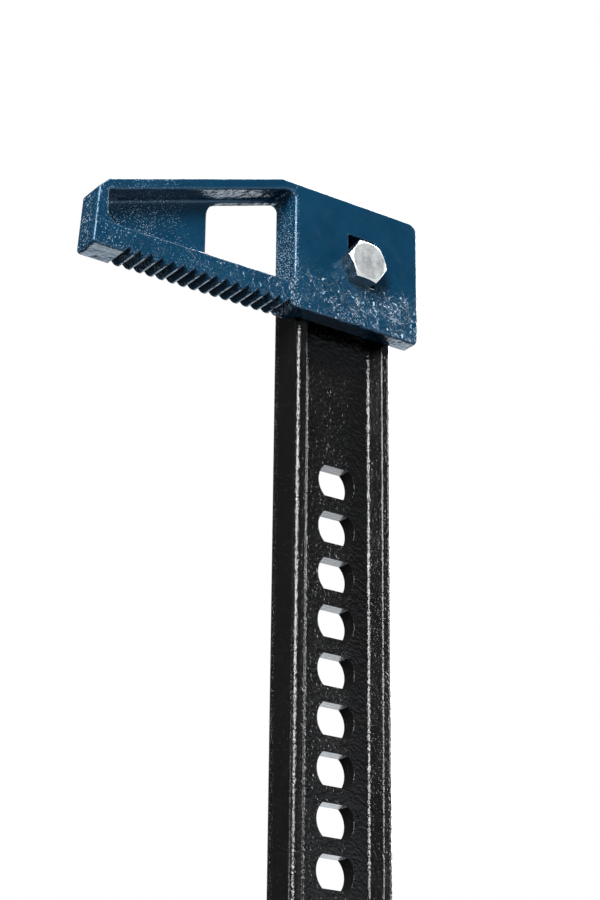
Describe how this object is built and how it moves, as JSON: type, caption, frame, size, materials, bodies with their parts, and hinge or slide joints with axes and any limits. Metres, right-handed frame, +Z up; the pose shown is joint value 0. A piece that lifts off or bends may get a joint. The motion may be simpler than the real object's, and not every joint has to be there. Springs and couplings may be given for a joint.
{
  "type": "high-lift toe jack",
  "caption": "Tall ratchet toe jack: an I-section bar on a foot plate, toothed top clamp, climbing runner with lifting nose, small runner and long handle.",
  "frame": {"origin": "centre of the foot plate's underside, under the bar's axis", "axes": "+Z up along the bar, -X towards the lifting nose and the clamp's jaw, +X towards the handle, -Y towards the clamp bolt's head"},
  "size_m": [0.2222, 0.1365, 1.2318],
  "materials": {
    "bar_paint": "gloss black enamel over rolled steel, faintly rippled",
    "casting_blue": "thick gloss navy enamel over rough sand-cast iron",
    "zinc": "bright zinc plate",
    "pin_steel": "oiled bright steel",
    "handle_black": "gloss black powder coat",
    "spring_steel": "oiled spring steel",
    "black_plastic": "moulded plastic"
  },
  "bodies": {
    "foot": {"base_plate": "casting_blue", "base_pin": "zinc", "base_cotter": "zinc"},
    "bar": {"standard_bar": "bar_paint", "top_clamp": "casting_blue", "clamp_bolt": "zinc", "clamp_washer": "zinc", "clamp_nut": "zinc"},
    "lift_runner_body": {"lift_runner": "casting_blue", "upper_pin_cap": "zinc", "upper_pin_spring": "spring_steel", "latch_pin": "pin_steel", "pivot_bolt": "zinc", "pivot_nut": "zinc"},
    "upper_pin": {"upper_climbing_pin": "pin_steel", "upper_cross_pin": "pin_steel"},
    "small_runner_body": {"small_runner": "casting_blue", "lower_pin_cap": "zinc", "lower_pin_spring": "spring_steel", "lower_link_pin": "pin_steel"},
    "lower_pin": {"lower_climbing_pin": "pin_steel", "lower_cross_pin": "pin_steel"},
    "handle": {"handle_socket": "casting_blue", "handle_bolt": "zinc", "handle_nut": "zinc", "handle_tube": "handle_black", "handle_plug": "black_plastic"},
    "clip": {"bar_clip": "spring_steel"},
    "pitmans": {"near_pitman": "handle_black", "far_pitman": "handle_black", "upper_link_pin": "pin_steel"},
    "latch": {"reversing_latch": "handle_black"}
  },
  "joints": [
    {"name": "foot_rock", "type": "hinge", "parent": "foot", "child": "bar", "pos_m": [0, 0, 0.045], "axis": [0, 1, 0], "range_deg": [-5, 5]},
    {"name": "runner_slide", "type": "slide", "parent": "bar", "child": "lift_runner_body", "axis": [0, 0, 1], "range_m": [-0.0422, 0.8229]},
    {"name": "handle_swing", "type": "hinge", "parent": "lift_runner_body", "child": "handle", "pos_m": [0.052, 0, 0.2167], "axis": [0, 1, 0], "range_deg": [0, 70]},
    {"name": "small_runner_slide", "type": "slide", "parent": "lift_runner_body", "child": "small_runner_body", "axis": [0, 0, -1], "range_m": [0, 0.0212]},
    {"name": "pitman_swing", "type": "hinge", "parent": "handle", "child": "pitmans", "pos_m": [0.06707, 0, 0.22725], "axis": [0, 1, 0], "range_deg": [-70.5, 0]},
    {"name": "upper_pin_slide", "type": "slide", "parent": "lift_runner_body", "child": "upper_pin", "axis": [0, 1, 0], "range_m": [0, 0.0116]},
    {"name": "lower_pin_slide", "type": "slide", "parent": "small_runner_body", "child": "lower_pin", "axis": [0, 1, 0], "range_m": [0, 0.0116]},
    {"name": "clip_slide", "type": "slide", "parent": "handle", "child": "clip", "axis": [0, 0, 1], "range_m": [0, 0.51]},
    {"name": "latch_swing", "type": "hinge", "parent": "lift_runner_body", "child": "latch", "pos_m": [0.024, 0, 0.2667], "axis": [0, 1, 0], "range_deg": [0, 35]}
  ],
  "couplings": [
    {"joint": "small_runner_slide", "follows": "handle_swing", "m_per_rad": 0.017271},
    {"joint": "pitman_swing", "follows": "handle_swing", "ratio": -1}
  ]
}
